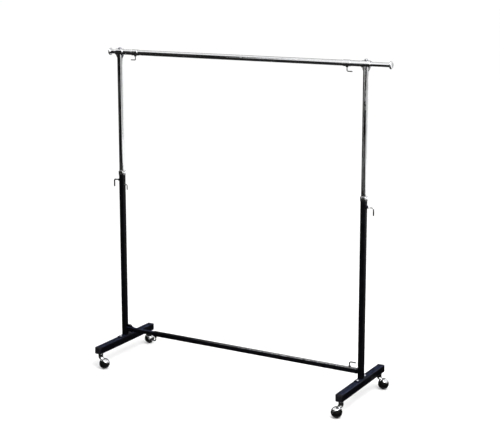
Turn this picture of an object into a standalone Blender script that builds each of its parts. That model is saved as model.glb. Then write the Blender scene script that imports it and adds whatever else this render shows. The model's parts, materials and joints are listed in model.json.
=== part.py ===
"""Rolling garment rack: two footed posts on ball casters, telescoping uprights and a pull-out rail.

Frame: metres, +X along the rail, -Y the front, +Z up, origin on the floor at the middle of the
object's box. Run with: blender --background --python part.py
"""
import math

import bmesh
import bpy
from mathutils import Matrix, Vector

# Driving dimensions
RAIL_HEIGHT = 1.555        # floor to the middle of the rail
POST_SPACING = 1.320       # middle of one post to the middle of the other
REACH_LEFT = 0.060         # left post to the outer face of the left end cap
REACH_RIGHT = 0.123        # right post to the outer face of the right end cap
FOOT_LENGTH = 0.480
FOOT_BOTTOM = 0.0745       # floor to the underside of a foot
GAP = 0.0003               # left between pieces that touch
RUN_GAP = 0.0005           # left between pieces that slide or turn

# Square tubes: side, wall and outer corner radius
FOOT_TUBE = (0.035, 0.0020, 0.0032)
POST_TUBE = (0.0254, 0.0015, 0.0040)
UPRIGHT_TUBE = (0.0214, 0.0012, 0.0032)
CROSSBAR_TUBE = (0.0225, 0.0015, 0.0035)
STUB_TUBE = (0.0186, 0.0015, 0.0025)

# Round tubes: outer radius and wall
RAIL_TUBE = (0.0130, 0.0015)
ROD_TUBE = (0.0100, 0.0012)

# Heights and lengths
POST_TOP = 0.960
COLLAR_BOTTOM = 0.943
COLLAR_SIDE = 0.029
COLLAR_LIP = 0.004         # part of the collar above the post's top
LOCK_HEIGHT = 0.916
SIDE_SCREW_HEIGHT = 0.894
UPRIGHT_BOTTOM = 0.650
TEE_DROP = 0.053           # rail middle to the seam between tee and upright
TEE_LENGTH = 0.044
ROD_LENGTH = 0.440
RAIL_LOCK_INSET = 0.092    # post to the screw that holds an extension rod
CROSSBAR_HEIGHT = 0.145
CROSSBAR_LEFT_INSET = 0.176
CROSSBAR_RIGHT_INSET = 0.017
CROSSBAR_SCREW_INSET = {"left": 0.188, "right": 0.058}
STUB_REACH = {"left": 0.246, "right": 0.135}
FLANGE_SIZE = (0.028, 0.100, 0.003)
FLANGE_BOLT_INSET = 0.040

# Casters
BALL_RADIUS = 0.026
CASTER_INSET = 0.030       # end of the foot to the swivel axis
CASTER_TRAIL = 0.025       # swivel axis to the middle of the ball, along the heading
# Each caster's heading in degrees, and 1 or -1 for the hand that its hood leans to
CASTERS = {
    "front_left": (-10.0, 1),
    "front_right": (-115.0, -1),
    "rear_left": (115.0, -1),
    "rear_right": (-10.0, 1),
}
HOOD_TILT = math.radians(47.0)
NECK_RADIUS = 0.0120
STEM_RADIUS = 0.0040
AXLE_RADIUS = 0.0030
SOCKET_FLANGE = 0.0020
SOCKET_RADIUS = 0.0060
STEM_BOTTOM = 0.0500
STEM_TOP = 0.1000

# Lock screws: rod radius, reach of the stem past its seat, and handle length
POST_SCREW = (0.0034, 0.0350, 0.0370)
SIDE_SCREW = (0.0025, 0.0160, 0.0260)
RAIL_SCREW = (0.0025, 0.0230, 0.0270)
CROSSBAR_SCREW = (0.0032, 0.0260, 0.0330)

# Small details
FOOT_CAP_DOME = 0.011
FOOT_CAP_PLUG = 0.010
BOLT_RADIUS = 0.0040
SPIGOT_TOP = 0.020         # flange's underside to the top of the spigot inside the post
TEE_SPIGOT = 0.030         # part of a tee inside its upright
TEE_WALL = 0.0026
SLEEVE_WALL = 0.0020
SLEEVE_LENGTH = 0.036
END_CAP_RADIUS = 0.0180
END_CAP_THICKNESS = 0.0090
ROD_RECESS = 0.0030        # outer face of an end cap to the end of its rod
PLUG_COLLAR = 0.0080

# Facets
ROUND_SIDES = 20
ROD_SIDES = 12
CORNER_STEPS = 2

# Worked out from the above
MID_X = (REACH_LEFT - REACH_RIGHT) / 2
LEFT_X = MID_X - POST_SPACING / 2
RIGHT_X = MID_X + POST_SPACING / 2
FOOT_TOP = FOOT_BOTTOM + FOOT_TUBE[0]
SIDES = {"left": -1, "right": 1}
POST_X = {"left": LEFT_X, "right": RIGHT_X}
REACH = {"left": REACH_LEFT, "right": REACH_RIGHT}


# Scene, materials and placing

def clear_scene():
    for thing in list(bpy.data.objects):
        bpy.data.objects.remove(thing, do_unlink=True)


def make_material(name, colour, metallic, roughness):
    material = bpy.data.materials.new(name)
    material.use_nodes = True
    shader = material.node_tree.nodes["Principled BSDF"]
    shader.inputs["Base Color"].default_value = (*colour, 1.0)
    shader.inputs["Metallic"].default_value = metallic
    shader.inputs["Roughness"].default_value = roughness
    return material


def make_empty(name, location, parent=None):
    pivot = bpy.data.objects.new(name, None)
    bpy.context.scene.collection.objects.link(pivot)
    pivot.location = location
    pivot.parent = parent
    return pivot


def add_piece(name, mesh, material, location=(0, 0, 0), turn=None, parent=None):
    """One named object; location and turn are in the parent's frame."""
    mesh.materials.clear()
    mesh.materials.append(material)
    mesh.shade_smooth()
    mesh.set_sharp_from_angle(angle=math.radians(35))
    piece = bpy.data.objects.new(name, mesh)
    bpy.context.scene.collection.objects.link(piece)
    piece.parent = parent
    piece.matrix_local = Matrix.Translation(location) @ (turn or Matrix()).to_4x4()
    return piece


def facing(z_dir, x_dir):
    """Turn that carries local Z to z_dir and local X to x_dir."""
    z_axis = Vector(z_dir).normalized()
    x_axis = Vector(x_dir).normalized()
    y_axis = z_axis.cross(x_axis)
    return Matrix((x_axis, y_axis, z_axis)).transposed()


ALONG_X = facing((1, 0, 0), (0, 1, 0))
ALONG_Y = facing((0, 1, 0), (0, 0, 1))


def to_mesh(work, name):
    bmesh.ops.remove_doubles(work, verts=work.verts, dist=1e-7)
    bmesh.ops.recalc_face_normals(work, faces=work.faces)
    mesh = bpy.data.meshes.new(name)
    work.to_mesh(mesh)
    work.free()
    return mesh


def carved(mesh, steps):
    """Boolean steps on a mesh, as (operation, mesh, placing), baked into a new mesh."""
    scene = bpy.context.scene.collection
    base = bpy.data.objects.new("base", mesh)
    scene.objects.link(base)
    tools = []
    for operation, tool_mesh, placing in steps:
        tool = bpy.data.objects.new("tool", tool_mesh)
        scene.objects.link(tool)
        tool.matrix_world = placing
        tools.append(tool)
        modifier = base.modifiers.new(operation, "BOOLEAN")
        modifier.operation = operation
        modifier.object = tool
    bpy.context.view_layer.update()
    depsgraph = bpy.context.evaluated_depsgraph_get()
    work = bmesh.new()
    work.from_object(base, depsgraph)
    for thing in [base, *tools]:
        bpy.data.objects.remove(thing, do_unlink=True)
    bmesh.ops.remove_doubles(work, verts=work.verts, dist=2e-6)
    bmesh.ops.dissolve_degenerate(work, edges=work.edges, dist=2e-6)
    result = bpy.data.meshes.new("carved")
    work.to_mesh(result)
    work.free()
    return result


# Basic shapes, all built along local Z

def outline(width, depth, corner, z):
    """Rectangle with rounded corners, anticlockwise."""
    points = []
    for quarter in range(4):
        middle = math.radians(45 + 90 * quarter)
        centre_x = math.copysign(width / 2 - corner, math.cos(middle))
        centre_y = math.copysign(depth / 2 - corner, math.sin(middle))
        for step in range(CORNER_STEPS + 1):
            angle = math.radians(90 * quarter + 90 * step / CORNER_STEPS)
            x = centre_x + corner * math.cos(angle)
            y = centre_y + corner * math.sin(angle)
            points.append((x, y, z))
    return points


def square_ring(side, corner, z):
    return outline(side, side, corner, z)


def loft(rings, close_loop=False, name="loft"):
    """Skin through rings of equal length; a closed loop of rings makes a tube wall."""
    work = bmesh.new()
    loops = [[work.verts.new(point) for point in ring] for ring in rings]
    pairs = list(zip(loops, loops[1:]))
    if close_loop:
        pairs.append((loops[-1], loops[0]))
    else:
        work.faces.new(list(reversed(loops[0])))
        work.faces.new(loops[-1])
    for low, high in pairs:
        count = len(low)
        for i in range(count):
            j = (i + 1) % count
            work.faces.new((low[i], low[j], high[j], high[i]))
    return to_mesh(work, name)


def square_tube(tube, bottom, top):
    """Open-ended tube: outer skin up, inner skin down, joined by end faces."""
    side, wall, corner = tube
    inside = side - 2 * wall
    inside_corner = max(corner - wall, 0.0008)
    rings = [
        square_ring(side, corner, bottom),
        square_ring(side, corner, top),
        square_ring(inside, inside_corner, top),
        square_ring(inside, inside_corner, bottom),
    ]
    return loft(rings, close_loop=True, name="square_tube")


def turned(profile, sides=ROUND_SIDES, name="turned"):
    """Solid turned about local Z from (radius, height) points; the flats lie on the axes.

    Radii are measured to the flats. A profile that starts and ends on the axis is a plain solid,
    any other profile closes on itself and leaves a bore.
    """
    grow = 1 / math.cos(math.pi / sides)
    work = bmesh.new()
    rings = []
    for radius, height in profile:
        if radius < 1e-6:
            rings.append([work.verts.new((0, 0, height))])
            continue
        ring = []
        for i in range(sides):
            angle = 2 * math.pi * (i + 0.5) / sides
            x = radius * grow * math.cos(angle)
            y = radius * grow * math.sin(angle)
            ring.append(work.verts.new((x, y, height)))
        rings.append(ring)
    pairs = list(zip(rings, rings[1:]))
    if len(rings[0]) > 1 or len(rings[-1]) > 1:
        pairs.append((rings[-1], rings[0]))
    for low, high in pairs:
        for i in range(sides):
            j = (i + 1) % sides
            corners = [low[i % len(low)], low[j % len(low)], high[j % len(high)], high[i % len(high)]]
            unique = list(dict.fromkeys(corners))
            if len(unique) > 2:
                work.faces.new(unique)
    return to_mesh(work, name)


def cylinder(radius, bottom, top, sides=ROUND_SIDES):
    return turned([(0, bottom), (radius, bottom), (radius, top), (0, top)], sides, "cylinder")


def ring_shape(outer, inner, bottom, top, edge):
    """Sleeve with chamfered outer edges."""
    profile = [(inner, bottom), (outer - edge, bottom), (outer, bottom + edge)]
    profile += [(outer, top - edge), (outer - edge, top), (inner, top)]
    return turned(profile, name="sleeve")


def round_tube(tube, bottom, top):
    radius, wall = tube
    inside = radius - wall
    return turned([(inside, bottom), (radius, bottom), (radius, top), (inside, top)], name="tube")


def half_ball(radius, steps):
    """Profile of a half ball, flat side on z = 0 and pole up."""
    points = [(0, 0)]
    for i in range(steps):
        angle = math.radians(90 * i / steps)
        points.append((radius * math.cos(angle), radius * math.sin(angle)))
    points.append((0, radius))
    return points


def on_ball(radius, polar):
    """Profile point on a ball, at an angle in radians from its pole."""
    return radius * math.sin(polar), radius * math.cos(polar)


def gusset(points, thickness):
    """Flat plate in the XZ plane, centred on y = 0."""
    work = bmesh.new()
    base = work.faces.new([work.verts.new((x, -thickness / 2, z)) for x, z in points])
    grown = bmesh.ops.extrude_face_region(work, geom=[base])
    raised = [item for item in grown["geom"] if isinstance(item, bmesh.types.BMVert)]
    bmesh.ops.translate(work, vec=(0, thickness, 0), verts=raised)
    return to_mesh(work, "gusset")


def bent_rod(radius, stem, handle, bend, tip):
    """L-handle screw: axis on local Z from z = 0, bent over to run along local +X."""
    arc_steps = 5
    path = [(0, 0), (0, tip), (0, stem - bend)]
    for step in range(1, arc_steps + 1):
        angle = math.radians(90 * step / arc_steps)
        path.append((bend - bend * math.cos(angle), stem - bend + bend * math.sin(angle)))
    path.append((handle - radius / 2, stem))
    path.append((handle, stem))
    angles = [0, 0, 0]
    angles += [math.radians(90 * step / arc_steps) for step in range(1, arc_steps + 1)]
    angles += [math.radians(90), math.radians(90)]
    radii = [radius * 0.7] + [radius] * (len(path) - 2) + [radius * 0.6]
    rings = []
    for (x, z), lean, size in zip(path, angles, radii):
        ring = []
        for i in range(ROD_SIDES):
            around = 2 * math.pi * (i + 0.5) / ROD_SIDES
            across = size * math.cos(around)
            y = size * math.sin(around)
            ring.append((x + across * math.cos(lean), y, z - across * math.sin(lean)))
        rings.append(ring)
    return loft(rings, name="bent_rod")


# Feet and posts

def foot(side, black):
    bolt_hole = cylinder(BOLT_RADIUS + RUN_GAP, -0.01, 0.01, ROD_SIDES)
    socket_hole = cylinder(SOCKET_RADIUS + GAP, -0.01, 0.01, ROD_SIDES)
    half = FOOT_LENGTH / 2 - FOOT_CAP_DOME - GAP
    steps = []
    for end in (-1, 1):
        bolt_at = Vector((0, end * FLANGE_BOLT_INSET, FOOT_TUBE[0] / 2))
        socket_at = Vector((0, end * (FOOT_LENGTH / 2 - CASTER_INSET), -FOOT_TUBE[0] / 2))
        steps.append(("DIFFERENCE", bolt_hole, Matrix.Translation(bolt_at)))
        steps.append(("DIFFERENCE", socket_hole, Matrix.Translation(socket_at)))
    tube = square_tube(FOOT_TUBE, -half, half)
    tube.transform(ALONG_Y.to_4x4())
    mesh = carved(tube, steps)
    add_piece(f"{side}_foot", mesh, black, (POST_X[side], 0, FOOT_BOTTOM + FOOT_TUBE[0] / 2))


def foot_cap_mesh():
    """End cap, outward along local Z: rounded dome outside the tube, plug inside it."""
    side, wall, corner = FOOT_TUBE
    plug = side - 2 * wall - 2 * GAP
    rings = [square_ring(plug - 0.002, corner - wall, -FOOT_CAP_PLUG)]
    rings.append(square_ring(plug, corner - wall, -FOOT_CAP_PLUG + 0.002))
    rings.append(square_ring(plug, corner - wall, 0))
    rings.append(square_ring(side, corner, 0))
    dome_steps = 5
    for step in range(1, dome_steps + 1):
        angle = math.radians(90 * step / dome_steps)
        shrink = FOOT_CAP_DOME * (1 - math.cos(angle))
        rise = FOOT_CAP_DOME * math.sin(angle)
        rings.append(square_ring(side - 2 * shrink, corner - 0.3 * shrink, rise))
    return loft(rings, name="foot_cap")


def foot_caps(plastic):
    mesh = foot_cap_mesh()
    height = FOOT_BOTTOM + FOOT_TUBE[0] / 2
    for side in SIDES:
        for end, direction in (("front", -1), ("rear", 1)):
            location = (POST_X[side], direction * (FOOT_LENGTH / 2 - FOOT_CAP_DOME), height)
            turn = facing((0, direction, 0), (1, 0, 0))
            add_piece(f"{side}_foot_{end}_cap", mesh, plastic, location, turn)


def post(side, black):
    """Outer tube with the hole for its lock screw in the outer face."""
    outward = SIDES[side]
    bottom = FOOT_TOP + FLANGE_SIZE[2] + 2 * GAP
    tube = square_tube(POST_TUBE, bottom, POST_TOP)
    hole = cylinder(0.0040, 0.0090, 0.0150, ROD_SIDES)
    turn = facing((outward, 0, 0), (0, 0, 1)).to_4x4()
    steps = [("DIFFERENCE", hole, Matrix.Translation((0, 0, LOCK_HEIGHT)) @ turn)]
    if side == "left":
        inner_turn = facing((1, 0, 0), (0, 0, 1)).to_4x4()
        steps.append(("DIFFERENCE", hole, Matrix.Translation((0, 0, SIDE_SCREW_HEIGHT)) @ inner_turn))
    add_piece(f"{side}_post", carved(tube, steps), black, (POST_X[side], 0, 0))


def post_flange(side, black):
    """Plate under the post with two bolt holes and a spigot that fills the post's foot."""
    width, depth, height = FLANGE_SIZE
    plate = loft([outline(width, depth, 0.0015, 0), outline(width, depth, 0.0015, height)])
    spigot_side = POST_TUBE[0] - 2 * POST_TUBE[1] - 2 * GAP
    spigot_rings = [square_ring(spigot_side, 0.002, z) for z in (height / 2, SPIGOT_TOP)]
    spigot = loft(spigot_rings)
    hole = cylinder(BOLT_RADIUS + RUN_GAP, -0.01, 0.01, ROD_SIDES)
    steps = [("UNION", spigot, Matrix())]
    for end in (-1, 1):
        steps.append(("DIFFERENCE", hole, Matrix.Translation((0, end * FLANGE_BOLT_INSET, 0))))
    add_piece(f"{side}_post_flange", carved(plate, steps), black, (POST_X[side], 0, FOOT_TOP + GAP))


def flange_bolts(zinc):
    """Four bolts down through the flanges into the feet."""
    profile = [(0, -0.012), (BOLT_RADIUS - 0.0004, -0.012), (BOLT_RADIUS, -0.011), (BOLT_RADIUS, 0)]
    profile += [(0.0075, 0), (0.0075, 0.0042), (0.0050, 0.0056), (0, 0.0060)]
    bolt = turned(profile, ROD_SIDES, "bolt")
    head_z = FOOT_TOP + FLANGE_SIZE[2] + 2 * GAP
    for side in SIDES:
        for end, direction in (("front", -1), ("rear", 1)):
            location = (POST_X[side], direction * FLANGE_BOLT_INSET, head_z)
            add_piece(f"{side}_{end}_flange_bolt", bolt, zinc, location)


def collar_mesh():
    """Ferrule over the post's top, with a lip that guides the upright."""
    corner = POST_TUBE[2]
    post_bore = POST_TUBE[0] + 2 * GAP
    upright_bore = UPRIGHT_TUBE[0] + 2 * RUN_GAP
    shoulder = POST_TOP + GAP
    top = POST_TOP + COLLAR_LIP
    edge = 0.0018
    rings = [
        square_ring(post_bore, corner, COLLAR_BOTTOM),
        square_ring(COLLAR_SIDE - edge, corner + 0.001, COLLAR_BOTTOM),
        square_ring(COLLAR_SIDE, corner + 0.002, COLLAR_BOTTOM + edge),
        square_ring(COLLAR_SIDE, corner + 0.002, top - edge),
        square_ring(COLLAR_SIDE - 2 * edge, corner + 0.001, top),
        square_ring(upright_bore, UPRIGHT_TUBE[2], top),
        square_ring(upright_bore, UPRIGHT_TUBE[2], shoulder),
        square_ring(post_bore, corner, shoulder),
    ]
    return loft(rings, close_loop=True, name="collar")


def boss_mesh(base_radius, tip_radius, height, bore):
    """Conical threaded boss, standing on its base along local Z."""
    profile = [(bore, 0), (base_radius, 0), (base_radius, 0.0015)]
    profile += [(tip_radius, height - 0.001), (tip_radius - 0.001, height), (bore, height)]
    return turned(profile, 16, "boss")


def lock_screw(name, screw, seat, wall, outward, handle_dir, metal, parent=None):
    """L-handle screw on its own axis; its tip stops in the wall that it goes through."""
    radius, reach, handle = screw
    mesh = bent_rod(radius, reach + wall, handle, 2.2 * radius, 0.001)
    start = Vector(seat) - Vector(outward) * wall
    pivot = make_empty(f"{name}_axis", start, parent)
    add_piece(name, mesh, metal, (0, 0, 0), facing(outward, handle_dir), pivot)


def post_locks(black, chrome):
    wall = POST_TUBE[1]
    boss = boss_mesh(0.0110, 0.0058, 0.0095, POST_SCREW[0] + RUN_GAP)
    for side, outward in SIDES.items():
        face = POST_X[side] + outward * (POST_TUBE[0] / 2 + GAP)
        seat = (face, 0, LOCK_HEIGHT)
        out_dir = (outward, 0, 0)
        add_piece(f"{side}_post_boss", boss, black, seat, facing(out_dir, (0, 0, 1)))
        lock_screw(f"{side}_post_screw", POST_SCREW, seat, wall, out_dir, (0, 0, -1), chrome)
    seat = (LEFT_X + POST_TUBE[0] / 2, 0, SIDE_SCREW_HEIGHT)
    lock_screw("left_side_screw", SIDE_SCREW, seat, wall, (1, 0, 0), (0, 0, -1), chrome)


# Crossbar

def crossbar_supports(black):
    """A stub on each post; the left one runs out to the crossbar through a braced sleeve."""
    face = POST_TUBE[0] / 2 + GAP
    for side, outward in SIDES.items():
        turn = facing((-outward, 0, 0), (0, 1, 0))
        mesh = square_tube(STUB_TUBE, face, STUB_REACH[side])
        add_piece(f"{side}_crossbar_stub", mesh, black, (POST_X[side], 0, CROSSBAR_HEIGHT), turn)
    sleeve_side = CROSSBAR_TUBE[0] + 0.001
    bore = STUB_TUBE[0] + 2 * GAP
    sleeve_tube = (sleeve_side, (sleeve_side - bore) / 2, 0.003)
    sleeve = square_tube(sleeve_tube, face, face + 0.036)
    sleeve.transform(ALONG_X.to_4x4())
    low = sleeve_side / 2 - 0.001
    brace_points = [(face, low), (face + 0.033, low), (face + 0.033, 0.016)]
    brace_points += [(face + 0.024, 0.025), (face, 0.025)]
    brace = gusset(brace_points, 0.006)
    mesh = carved(sleeve, [("UNION", brace, Matrix())])
    add_piece("left_crossbar_bracket", mesh, black, (LEFT_X, 0, CROSSBAR_HEIGHT))


def crossbar(black, chrome):
    """Square tube over the stubs, with a threaded boss under its left end and on its right end."""
    side_width, wall, _ = CROSSBAR_TUBE
    tube = square_tube(CROSSBAR_TUBE, LEFT_X + CROSSBAR_LEFT_INSET, RIGHT_X - CROSSBAR_RIGHT_INSET)
    tube.transform(ALONG_X.to_4x4())
    hole = cylinder(CROSSBAR_SCREW[0] + RUN_GAP, 0.0080, 0.0240, ROD_SIDES)
    boss = boss_mesh(0.0095, 0.0055, 0.0090, CROSSBAR_SCREW[0] + RUN_GAP)
    steps = []
    for side, up in (("left", -1), ("right", 1)):
        inward = -SIDES[side]
        x = POST_X[side] + inward * CROSSBAR_SCREW_INSET[side]
        turn = facing((0, 0, up), (inward, 0, 0)).to_4x4()
        boss_at = Vector((x, 0, up * (side_width / 2 - 0.001)))
        steps.append(("UNION", boss, Matrix.Translation(boss_at) @ turn))
        steps.append(("DIFFERENCE", hole, Matrix.Translation((x, 0, 0)) @ turn))
        seat = (x, 0, CROSSBAR_HEIGHT + up * side_width / 2)
        name = f"{side}_crossbar_screw"
        lock_screw(name, CROSSBAR_SCREW, seat, wall, (0, 0, up), (-inward, 0, 0), chrome)
    add_piece("crossbar", carved(tube, steps), black, (0, 0, CROSSBAR_HEIGHT))


# Upper frame: uprights, tees and rail

def tee_mesh():
    """Sleeve around the rail, a square leg flush with the upright, and a spigot inside it."""
    outer = RAIL_TUBE[0] + TEE_WALL
    bore = RAIL_TUBE[0] + GAP
    sleeve = ring_shape(outer, bore, -TEE_LENGTH / 2, TEE_LENGTH / 2, 0.0012)
    sleeve.transform(ALONG_X.to_4x4())
    side, wall, corner = UPRIGHT_TUBE
    leg = loft([square_ring(side, corner, z) for z in (-TEE_DROP, -0.002)])
    spigot_side = side - 2 * wall - 2 * GAP
    spigot_ends = (-TEE_DROP - TEE_SPIGOT, -TEE_DROP + 0.002)
    spigot = loft([square_ring(spigot_side, 0.002, z) for z in spigot_ends])
    half = TEE_LENGTH / 2 - 0.001
    shoulder = -outer + 0.0025
    brace = gusset([(-half, shoulder), (-0.009, -0.034), (0.009, -0.034), (half, shoulder)], 0.012)
    clear_bore = cylinder(bore, -0.05, 0.05)
    clear_bore.transform(ALONG_X.to_4x4())
    screw_hole = cylinder(0.0028, 0.010, 0.020, ROD_SIDES)
    return carved(sleeve, [
        ("UNION", leg, Matrix()),
        ("UNION", brace, Matrix()),
        ("UNION", spigot, Matrix()),
        ("DIFFERENCE", clear_bore, Matrix()),
        ("DIFFERENCE", screw_hole, Matrix()),
    ])


def tee_screw_mesh():
    """Dome-headed screw down through the tee into the rail."""
    head = RAIL_TUBE[0] + TEE_WALL + GAP
    profile = [(0, 0.0118), (0.0024, 0.0118), (0.0024, head), (0.0085, head)]
    profile += [(0.0085, 0.0180), (0.0062, 0.0212), (0.0030, 0.0226), (0, 0.0230)]
    return turned(profile, ROD_SIDES, "tee_screw")


def guide_bush_mesh():
    """Plug in the lower end of an upright, wide enough to steady it inside the post."""
    bore_side = UPRIGHT_TUBE[0] - 2 * UPRIGHT_TUBE[1] - 2 * GAP
    guide_side = POST_TUBE[0] - 2 * POST_TUBE[1] - 2 * RUN_GAP
    rings = [
        square_ring(guide_side - 0.002, 0.002, -0.012),
        square_ring(guide_side, 0.002, -0.010),
        square_ring(guide_side, 0.002, 0),
        square_ring(bore_side, 0.0018, 0),
        square_ring(bore_side, 0.0018, 0.020),
    ]
    return loft(rings, name="guide_bush")


def upper_frame(chrome, plastic, zinc):
    """Everything that rises with the rail, except its rods and lock screws."""
    height = make_empty("height_slide", (0, 0, 0))
    tee = tee_mesh()
    tee_screw = tee_screw_mesh()
    collar = collar_mesh()
    bush = guide_bush_mesh()
    tube = square_tube(UPRIGHT_TUBE, UPRIGHT_BOTTOM, RAIL_HEIGHT - TEE_DROP - GAP)
    bush_height = UPRIGHT_BOTTOM - GAP
    for side in SIDES:
        x = POST_X[side]
        add_piece(f"{side}_post_collar", collar, chrome, (x, 0, 0))
        add_piece(f"{side}_upright", tube, chrome, (x, 0, 0), parent=height)
        add_piece(f"{side}_guide_bush", bush, plastic, (x, 0, bush_height), parent=height)
        add_piece(f"{side}_tee", tee, chrome, (x, 0, RAIL_HEIGHT), parent=height)
        add_piece(f"{side}_tee_screw", tee_screw, zinc, (x, 0, RAIL_HEIGHT), parent=height)
    rail(chrome, height)
    rail_locks(chrome, height)
    for side in SIDES:
        extension_rod(side, chrome, plastic, height)


def rail(chrome, height):
    """Round tube between the tees, holed for the two rod screws and the two tee screws."""
    tube = round_tube(RAIL_TUBE, LEFT_X - TEE_LENGTH / 2, RIGHT_X + TEE_LENGTH / 2)
    tube.transform(ALONG_X.to_4x4())
    hole = cylinder(0.0030, 0.0090, 0.0160, ROD_SIDES)
    down = facing((0, 0, -1), (1, 0, 0)).to_4x4()
    steps = []
    for side, outward in SIDES.items():
        lock_at = Matrix.Translation((POST_X[side] - outward * RAIL_LOCK_INSET, 0, 0))
        steps.append(("DIFFERENCE", hole, lock_at @ down))
        steps.append(("DIFFERENCE", hole, Matrix.Translation((POST_X[side], 0, 0))))
    add_piece("rail", carved(tube, steps), chrome, (0, 0, RAIL_HEIGHT), parent=height)


def rail_locks(chrome, height):
    """Sleeve with a threaded boss under the rail at each end, and its L-handle screw."""
    outer = RAIL_TUBE[0] + SLEEVE_WALL
    half = SLEEVE_LENGTH / 2
    sleeve = ring_shape(outer, RAIL_TUBE[0] + GAP, -half, half, 0.0010)
    sleeve.transform(ALONG_X.to_4x4())
    boss = cylinder(0.0060, RAIL_TUBE[0] + 0.0010, outer + 0.0035, 16)
    hole = cylinder(RAIL_SCREW[0] + RUN_GAP, 0.0120, 0.0300, ROD_SIDES)
    down = facing((0, 0, -1), (1, 0, 0)).to_4x4()
    mesh = carved(sleeve, [("UNION", boss, down), ("DIFFERENCE", hole, down)])
    for side, outward in SIDES.items():
        x = POST_X[side] - outward * RAIL_LOCK_INSET
        add_piece(f"{side}_rail_sleeve", mesh, chrome, (x, 0, RAIL_HEIGHT), parent=height)
        seat = (x, 0, RAIL_HEIGHT - RAIL_TUBE[0] - GAP)
        name = f"{side}_rail_screw"
        lock_screw(name, RAIL_SCREW, seat, RAIL_TUBE[1], (0, 0, -1), (outward, 0, 0), chrome, height)


def extension_rod(side, chrome, plastic, height):
    """Pull-out rod, its end cap outside and its guide plug inside the rail; outward is local Z."""
    outward = SIDES[side]
    radius, wall = ROD_TUBE
    tip = POST_X[side] + outward * REACH[side]
    slide = make_empty(f"{side}_rod_slide", (tip, 0, RAIL_HEIGHT), height)
    turn = facing((outward, 0, 0), (0, 1, 0))
    tube = round_tube(ROD_TUBE, -ROD_RECESS - ROD_LENGTH, -ROD_RECESS)
    add_piece(f"{side}_extension_rod", tube, chrome, turn=turn, parent=slide)

    bore = radius + GAP
    floor = GAP - ROD_RECESS
    face = END_CAP_RADIUS
    profile = [(0, 0), (face - 0.0050, 0), (face - 0.0016, -0.0012), (face, -0.0036), (face, -0.0056)]
    profile += [(face - 0.0016, -0.0080), (face - 0.0040, -END_CAP_THICKNESS)]
    profile += [(bore, -END_CAP_THICKNESS), (bore, floor), (0, floor)]
    add_piece(f"{side}_end_cap", turned(profile, name="end_cap"), chrome, turn=turn, parent=slide)

    guide = RAIL_TUBE[0] - RAIL_TUBE[1] - RUN_GAP
    tail = radius - wall - GAP
    profile = [(0, 0), (guide - 0.001, 0), (guide, 0.001), (guide, PLUG_COLLAR), (tail, PLUG_COLLAR)]
    profile += [(tail, PLUG_COLLAR + 0.016), (0, PLUG_COLLAR + 0.016)]
    plug_at = Vector((-outward * (ROD_LENGTH + ROD_RECESS + PLUG_COLLAR + GAP), 0, 0))
    add_piece(f"{side}_rod_plug", turned(profile, name="rod_plug"), plastic, plug_at, turn, slide)


# Casters

def caster_neck_mesh(hand):
    """Round neck about the swivel that leans over into the hood beside it."""
    top = FOOT_BOTTOM - SOCKET_FLANGE - 3 * GAP
    sections = [
        (0.018, 0.007, 0.034, NECK_RADIUS - 0.0040),
        (0.011, 0.004, 0.041, NECK_RADIUS - 0.0005),
        (0.004, 0.001, 0.048, NECK_RADIUS + 0.0005),
        (0.000, 0.000, 0.056, NECK_RADIUS),
        (0.000, 0.000, top - 0.0015, NECK_RADIUS),
        (0.000, 0.000, top, NECK_RADIUS - 0.0015),
    ]
    rings = []
    for x, y, z, radius in sections:
        ring = []
        for i in range(ROUND_SIDES):
            angle = 2 * math.pi * (i + 0.5) / ROUND_SIDES
            ring.append((x + radius * math.cos(angle), hand * y + radius * math.sin(angle), z))
        rings.append(ring)
    return loft(rings, name="neck")


def caster_hood_mesh(hand):
    """Half-ball hood with its neck and axle: local X is the heading, and the axle leans across it."""
    centre = Vector((CASTER_TRAIL, 0, BALL_RADIUS))
    lean = facing((0, hand * math.cos(HOOD_TILT), math.sin(HOOD_TILT)), (1, 0, 0)).to_4x4()
    at_ball = Matrix.Translation(centre) @ lean
    shell = turned(half_ball(BALL_RADIUS, 5), name="hood")
    shell.transform(at_ball)
    neck = caster_neck_mesh(hand)
    inside = BALL_RADIUS - 0.0018
    hollow = turned([(0, -0.003), (inside, -0.003)] + half_ball(inside, 5)[1:], name="hollow")
    sweep = BALL_RADIUS + 0.0011
    below = [(radius, -height) for radius, height in half_ball(sweep, 6)[1:]]
    wheel_room = turned([(0, 0.0004), (sweep, 0.0004)] + below, name="room")
    hub = cylinder(0.0062, 0.0030, inside + 0.0004, ROD_SIDES)
    axle = cylinder(AXLE_RADIUS, -0.0180, 0.0040, ROD_SIDES)
    stem_hole = cylinder(STEM_RADIUS + RUN_GAP, STEM_BOTTOM - 0.0010, 0.100, ROD_SIDES)
    return carved(shell, [
        ("UNION", neck, Matrix()),
        ("DIFFERENCE", hollow, at_ball),
        ("DIFFERENCE", wheel_room, at_ball),
        ("UNION", hub, at_ball),
        ("UNION", axle, at_ball),
        ("DIFFERENCE", stem_hole, Matrix()),
    ])


def caster_stem_mesh():
    """Swivel pin with the flanged socket that grips the foot."""
    flange_top = FOOT_BOTTOM - GAP
    flange_bottom = flange_top - SOCKET_FLANGE
    profile = [(0, STEM_BOTTOM), (STEM_RADIUS - 0.0006, STEM_BOTTOM), (STEM_RADIUS, STEM_BOTTOM + 0.001)]
    profile += [(STEM_RADIUS, flange_bottom), (0.0095, flange_bottom), (0.0095, flange_top)]
    profile += [(SOCKET_RADIUS, flange_top), (SOCKET_RADIUS, STEM_TOP - 0.002)]
    profile += [(SOCKET_RADIUS - 0.0015, STEM_TOP), (0, STEM_TOP)]
    return turned(profile, ROD_SIDES, "stem")


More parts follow.
